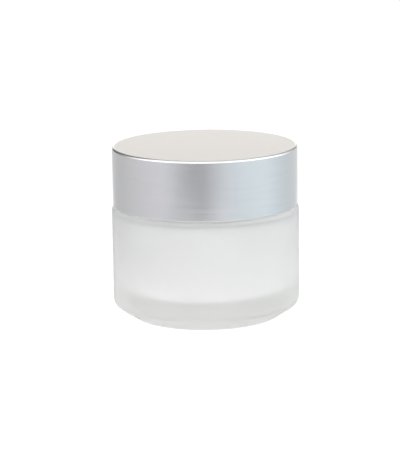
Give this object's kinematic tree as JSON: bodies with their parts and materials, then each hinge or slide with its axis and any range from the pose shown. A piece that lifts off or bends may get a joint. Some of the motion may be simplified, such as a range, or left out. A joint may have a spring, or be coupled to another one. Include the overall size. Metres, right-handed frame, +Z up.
{
  "type": "cosmetic cream jar",
  "caption": "Frosted glass cream jar with a heavy undercut base and an aluminium-shelled screw cap over a lift-out plug seal.",
  "frame": {"origin": "centre of the foot, on the surface that the jar stands on", "axes": "+Z up along the jar's axis; X and Y are alike"},
  "size_m": [0.058, 0.058, 0.0529],
  "materials": {
    "frosted_glass": "acid-frosted outside, clear inside",
    "seal_plastic": "soft translucent white",
    "liner_foam": "fine closed-cell foam",
    "insert_plastic": "moulded white",
    "satin_aluminium": "satin anodised, with a polished rim"
  },
  "bodies": {
    "jar": {"glass_jar": "frosted_glass"},
    "seal": {"plug_seal": "seal_plastic"},
    "liner": {"foam_liner": "liner_foam"},
    "cap": {"threaded_insert": "insert_plastic", "aluminium_shell": "satin_aluminium"}
  },
  "joints": [
    {"name": "cap_rise", "type": "slide", "parent": "jar", "child": "liner", "axis": [0, 0, 1], "range_m": [0, 0.03]},
    {"name": "cap_turn", "type": "hinge", "parent": "liner", "child": "cap", "pos_m": [0, 0, 0.0345], "axis": [0, 0, 1], "range_deg": [0, 2160]},
    {"name": "seal_lift", "type": "slide", "parent": "jar", "child": "seal", "axis": [0, 0, 1], "range_m": [0, 0.012]}
  ],
  "couplings": [
    {"joint": "cap_rise", "follows": "cap_turn", "m_per_rad": 0.0007957},
    {"joint": "seal_lift", "follows": "cap_turn", "m_per_rad": 0.0003183}
  ]
}
